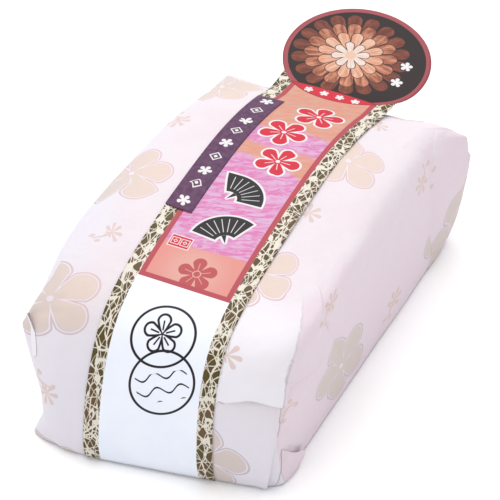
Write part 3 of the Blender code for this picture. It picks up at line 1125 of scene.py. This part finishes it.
def print_disc(graph, u, v, centre_v, colour):
    """Round end: rose rim, dark ground and a large many-petalled flower."""
    x, y = u, v - centre_v
    reach = graph.length(x, y)
    radius = DISC_RADIUS / MM
    fx, fy = graph.turned(x - FLOWER_MIDDLE[0], y - FLOWER_MIDDLE[1], 0.13)
    flower_reach = graph.length(fx, fy)
    angle = graph.math("ARCTAN2", fy, fx)
    silk = graph.noise(graph.vector(angle * 9.0, flower_reach * 0.12), 1.0, 4.0, 0.6)
    inner = DISC_FIELD
    for count, centre, width, turn, dark, pale in FLOWER_ROWS:
        px, py = graph.turned(fx, fy, turn)
        petal = graph.petals(px, py, count, centre * radius, width * radius, 0.6)
        tint = graph.mix(graph.ramp(silk, 0.35, 0.68), dark, pale)
        inner = graph.lay(inner, petal - 0.35, DISC_FIELD)
        inner = graph.lay(inner, petal, tint)
    heart = flower_reach - FLOWER_HEART * radius
    inner = graph.lay(inner, heart, APRICOT_PALE)
    for place_x, place_y in SIDE_BLOSSOMS:
        bx, by = graph.turned(x - place_x, y - place_y, 0.4)
        small = graph.petals(bx, by, 5, 1.9, 0.95, 0.6)
        inner = graph.lay(inner, small - 0.5, DISC_FIELD)
        inner = graph.lay(inner, small, WHITE)
    rim = graph.lay(DISC_RIM, reach - (radius - DISC_RIM_WIDTH), inner)
    banner = (y - BANNER_EDGE * radius + x * x * 0.0025).most(reach - (radius - 0.4))
    rim = graph.lay(rim, banner - 0.45, AUBURN_DARK)
    rim = graph.lay(rim, banner, CRIMSON)
    mark_x = graph.math("PINGPONG", x, 7.4) - 3.7
    mark_y = y - BANNER_MIDDLE * radius
    mark = graph.petals(mark_x, mark_y, 5, 1.35, 0.72, 0.6).most(x.size() - 14.0)
    rim = graph.lay(rim, mark, WHITE)
    return graph.lay(colour, reach - radius - 0.05, rim)


def card_material(card):
    """Satin printed card: borders, framed panel, white foot and disc."""
    graph = Graph("printed_card")
    u, v = graph.paper()
    half = LABEL_WIDTH / MM / 2
    place = graph.vector(u, v)
    shade = graph.noise(place, 0.05)
    plain = graph.mix(graph.ramp(shade, 0.35, 0.65), CARD_WHITE, CARD_COOL)
    colour = print_knot(graph, u, v, plain)

    aside = u.size()
    frame_edge = (aside - (half - BORDER)).most(PANEL_FOOT - v)
    fields = panel_colour(graph, u, v)
    fields = print_figures(graph, u, v, fields)
    fields = print_small_figures(graph, u, v, fields)
    framed = graph.lay(ROSE, frame_edge + FRAME_LINE, fields)
    colour = graph.lay(colour, frame_edge, framed)
    colour = graph.lay(colour, (half - BORDER) - aside, border_colour(graph, u, v))
    centre_v = card.length_at(DISC_CENTRE_Y) / MM
    colour = print_disc(graph, u, v, centre_v, colour)
    grain = graph.noise(place, 3.0, detail=4.0)
    graph.bump(grain * 0.3 + graph.noise(place, 0.08, detail=2.0), CARD_BUMP)
    return graph.finish(colour, graph.ramp(grain, 0.2, 0.8) * 0.12 + 0.38, CARD_GLOSS)


def sticker_material():
    """Plum sticker with a row of small white blossoms and lozenges."""
    graph = Graph("printed_sticker")
    u, v = graph.paper()
    half = LABEL_WIDTH / MM / 2
    place = graph.vector(u, v)
    ground = graph.mix(graph.ramp(graph.noise(place, 0.4, 4.0), 0.3, 0.7), PLUM, PLUM_DARK)
    pitch = STICKER_LENGTH / MM / STICKER_FIGURES
    cell = graph.math("FLOOR", v / pitch)
    x = u + half - STICKER_WIDTH / MM / 2
    y = v - (cell + 0.5) * pitch
    odd = graph.math("PINGPONG", cell, 1.0)
    petal = graph.petals(x, y, 5, 2.1, 0.95, 0.6) + odd * pitch
    slant = x.size() + y.size()
    lozenge = ((slant - 2.6).size() - 0.38).least(slant - 1.0) + (1.0 - odd) * pitch
    colour = graph.lay(ground, petal.least(lozenge), WHITE)
    grain = graph.noise(place, 2.5, detail=4.0)
    graph.bump(grain, STICKER_BUMP)
    return graph.finish(colour, graph.ramp(grain, 0.2, 0.8) * 0.15 + 0.45, CARD_GLOSS)


# Surroundings

def make_camera():
    """Lens at the photograph's angle and distance."""
    back = Vector((math.sin(AZIMUTH) * math.cos(ELEVATION),
                   -math.cos(AZIMUTH) * math.cos(ELEVATION), math.sin(ELEVATION)))
    data = bpy.data.cameras.new("camera")
    data.sensor_width = SENSOR_WIDTH
    data.lens = SENSOR_WIDTH * CAMERA_DISTANCE / VIEW_WIDTH
    camera = placed("camera", data)
    camera.location = AIM + back * CAMERA_DISTANCE
    camera.rotation_euler = back.to_track_quat("Z", "Y").to_euler()
    bpy.context.scene.camera = camera


def make_floor():
    """Plain pale floor under the pack."""
    mesh = bpy.data.meshes.new("floor")
    corners = [(x * FLOOR_REACH, y * FLOOR_REACH, 0.0) for x, y in ((-1, -1), (1, -1), (1, 1), (-1, 1))]
    mesh.from_pydata(corners, [], [(0, 1, 2, 3)])
    graph = Graph("floor_paint")
    where = graph.add("ShaderNodeTexCoord").outputs["Object"]
    tone = graph.mix(graph.noise(where, 2.0), FLOOR_GREY, FLOOR_WHITE)
    mesh.materials.append(graph.finish(tone, 0.9))
    floor = placed("floor", mesh)


def make_light():
    """Bright surroundings and one very soft light from above."""
    world = bpy.data.worlds.new("surroundings")
    world.use_nodes = True
    sky = world.node_tree.nodes["Background"]
    sky.inputs["Color"].default_value = SKY_COLOUR
    sky.inputs["Strength"].default_value = SKY_STRENGTH
    bpy.context.scene.world = world
    sun = bpy.data.lights.new("key", "SUN")
    sun.energy = SUN_STRENGTH
    sun.angle = SUN_SPREAD
    sun.color = SUN_COLOUR
    key = placed("key", sun)
    key.rotation_euler = SUN_DIRECTION.to_track_quat("Z", "Y").to_euler()
    bpy.context.scene.view_settings.view_transform = "Standard"


# Folded layers of the paper

# Back end's flaps: y of their guessed places in millimetres, and the side that they are cast from
END_Y = 110.0
END_DIRECTION = (0.0, 1.0, 0.0)


def make_upper_flap(skin, material):
    """White doubled flap on the right shoulder, folded down over the front panel."""
    left = ((20, -85, 40.5), (20, -80.5, 53), (20, -71, 63.5), (20, -52, 70.5), (20, -30, 74))
    right = ((51.4, -73.6, 40.9), (52.1, -69.7, 49.0), (54.3, -61.2, 47.9), (55.1, -46.0, 44.1),
             (55.4, -42.0, 49.4), (55.6, -41.2, 55.6), (55.3, -46.0, 66.0), (51.0, -38.0, 71.8),
             (46.0, -31.0, 73.4))
    foot = (left[0], (27.4, -83.9, 42.4), (34.9, -82.4, 45.1), (40.6, -80.9, 46.6), (47.8, -77.9, 44.2),
            right[0])

    def lift(u, v):
        loose_foot = smooth_step(1.0 - v * 7.0) * smooth_step((u - 0.2) * 4.0)
        loose_side = smooth_step((u - 0.90) / 0.10) * smooth_step((0.80 - v) * 5.0)
        sunk = smooth_step((v - 0.84) / 0.14)
        return 0.25 + 1.2 * loose_foot + 0.6 * loose_side - 0.60 * sunk

    edges = (left, right, foot, (left[-1], right[-1]))
    laid_sheet("upper_flap", skin, edges, (0.62, -0.56, 0.55), lift, material)


def make_front_panel(skin, material):
    """Front panel folded over the side gusset, with a free right edge."""
    left = ((20, -86.2, 1.2), (20, -88.6, 12), (20, -88.0, 26), (20, -84, 44), (20, -80.5, 52))
    right = ((47.4, -80.4, 0.8), (48.3, -80.2, 8), (49.2, -79.8, 16), (50.2, -78.4, 25),
             (51.0, -76.0, 34), (51.4, -73.4, 44), (51.0, -72.0, 51))
    foot = (left[0], (34, -83.8, 1.0), right[0])
    head = (left[-1], (36, -78.0, 52), right[-1])

    def lift(u, v):
        free = smooth_step((u - 0.76) / 0.24) * smooth_step((0.78 - v) * 3.0)
        sunk = smooth_step((v - 0.80) / 0.12)
        return 0.08 + 1.5 * free - 0.6 * sunk

    edges = (left, right, foot, head)
    laid_sheet("front_panel", skin, edges, (0.35, -0.92, 0.18), lift, material, shift=(0.0050, 0.0125))


def make_foot_gusset(skin, material):
    """Small facet where the side paper is tucked in at the right foot."""
    left = ((50.4, -77.6, 1.0), (51.4, -76.0, 11), (51.9, -75.0, 19.5))
    right = ((54.2, -62.5, 0.6), (54.2, -61.0, 4.0), (53.8, -59.5, 7.5))
    foot = (left[0], (52.6, -71.0, 0.7), right[0])
    head = (left[-1], (53.0, -68.0, 13.0), right[-1])

    def lift(u, v):
        return 0.15 + 0.9 * smooth_step(v * 1.2) * smooth_step(u * 3.0) + 1.2 * smooth_step(u * 1.4 - 0.4)

    edges = (left, right, foot, head)
    laid_sheet("foot_gusset", skin, edges, (0.95, -0.25, 0.1), lift, material, shift=(0.0, -0.02))


def make_back_ear(skin, material):
    """Large flat corner at the right back, which parts softly from the side."""
    inner = ((57.4, 73, 9), (56.4, 69.5, 34), (53.4, 75, 61), (48.0, 89.5, 65.6))
    outer = ((59.2, 86, 9), (59.6, 90, 16.7), (60.9, 96, 29.2), (62.4, 100, 38.3), (62.4, 101, 44.7),
             (60.9, 101, 55.5), (59.6, 101, 57.4))
    head = (inner[-1], (53.4, 96, 62.0), outer[-1])

    def lift(u, v):
        return 0.06 - 0.25 * smooth_step(1.0 - u * 16.0) - 0.25 * smooth_step((v - 0.94) * 16.0)

    edges = (inner, outer, (inner[0], outer[0]), head)
    laid_sheet("back_ear", skin, edges, (0.95, -0.10, 0.30), lift, material, (-0.006, -0.003), flat_from=0.6)


def make_front_ear_edge(skin, material):
    """Turned edge of the folded corner at the left front."""
    outer = ((-61.3, -75.2, 50.0), (-57.5, -78.0, 44.0), (-52.9, -80.8, 34.0))
    inner = ((-58.6, -77.6, 50.0), (-54.0, -80.4, 43.5), (-51.4, -82.4, 37.0))

    def lift(u, v):
        return 0.15

    edges = (outer, inner, (outer[0], inner[0]), (outer[-1], inner[-1]))
    towards = (-0.40, -0.80, 0.45)
    laid_sheet("front_ear_edge", skin, edges, towards, lift, material, (0.03, 0.03), flat_from=0.01)


def make_end_tuck(skin, name, side, material):
    """Tucked side of the back end's envelope fold."""
    outer = ((side * 48, END_Y, 6), (side * 48, END_Y, 60))
    inner = ((side * 46, END_Y, 5), (side * 22, END_Y, 26), (side * 22, END_Y, 40), (side * 44, END_Y, 60))

    def lift(u, v):
        return 0.15 + 0.1 * u

    edges = (outer, inner, (outer[0], inner[0]), (outer[-1], inner[-1]))
    laid_sheet(name, skin, edges, END_DIRECTION, lift, material, shift=(0.02 * side, 0.012))


def make_end_flap(skin, name, profile, lift, material, shift):
    """Flap of the back end, the same on both sides, with the half widths and heights of a profile."""
    left = [(half, END_Y, z) for half, z in profile]
    right = [(-half, END_Y, z) for half, z in profile]
    edges = (left, right, (left[0], right[0]), (left[-1], right[-1]))
    laid_sheet(name, skin, edges, END_DIRECTION, lift, material, shift)


def make_end_flaps(skin, plain, white):
    """Envelope fold of the back end: two tucked sides, a lower flap and an upper one over it."""
    make_end_tuck(skin, "end_tuck_left", -1.0, plain)
    make_end_tuck(skin, "end_tuck_right", 1.0, plain)

    def lower_lift(u, v):
        return 0.45 + 0.5 * smooth_step((v - 0.8) * 5.0)

    def upper_lift(u, v):
        return 0.85 + 0.6 * smooth_step(1.0 - v * 6.0) - 0.75 * smooth_step((v - 0.9) * 10.0)

    lower = ((44, 1.5), (36, 14), (22, 36))
    upper = ((17, 25), (30, 45), (42, 62))
    make_end_flap(skin, "end_flap_lower", lower, lower_lift, plain, (0.01, 0.03))
    make_end_flap(skin, "end_flap_upper", upper, upper_lift, white, (0.0, 0.02))


def make_wrap():
    """The wrapped block with its flaps."""
    plain = paper_material("wrap_paper", False)
    white = paper_material("wrap_paper_doubled", True)
    gathered = block_mesh()
    add_relief(gathered)
    body = gathered.make("wrap_body", plain, "wrap_paper")
    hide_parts("wrapped_block")
    skin = Skin(gathered)
    make_upper_flap(skin, white)
    make_front_panel(skin, plain)
    make_foot_gusset(skin, plain)
    make_back_ear(skin, white)
    make_front_ear_edge(skin, white)
    make_end_flaps(skin, plain, white)


def main():
    """Build the dressed pack and its surroundings."""
    make_camera()
    make_floor()
    make_light()
    make_wrap()
    card = Card()
    make_label(card, card_material(card))
    make_sticker(card, sticker_material())


main()
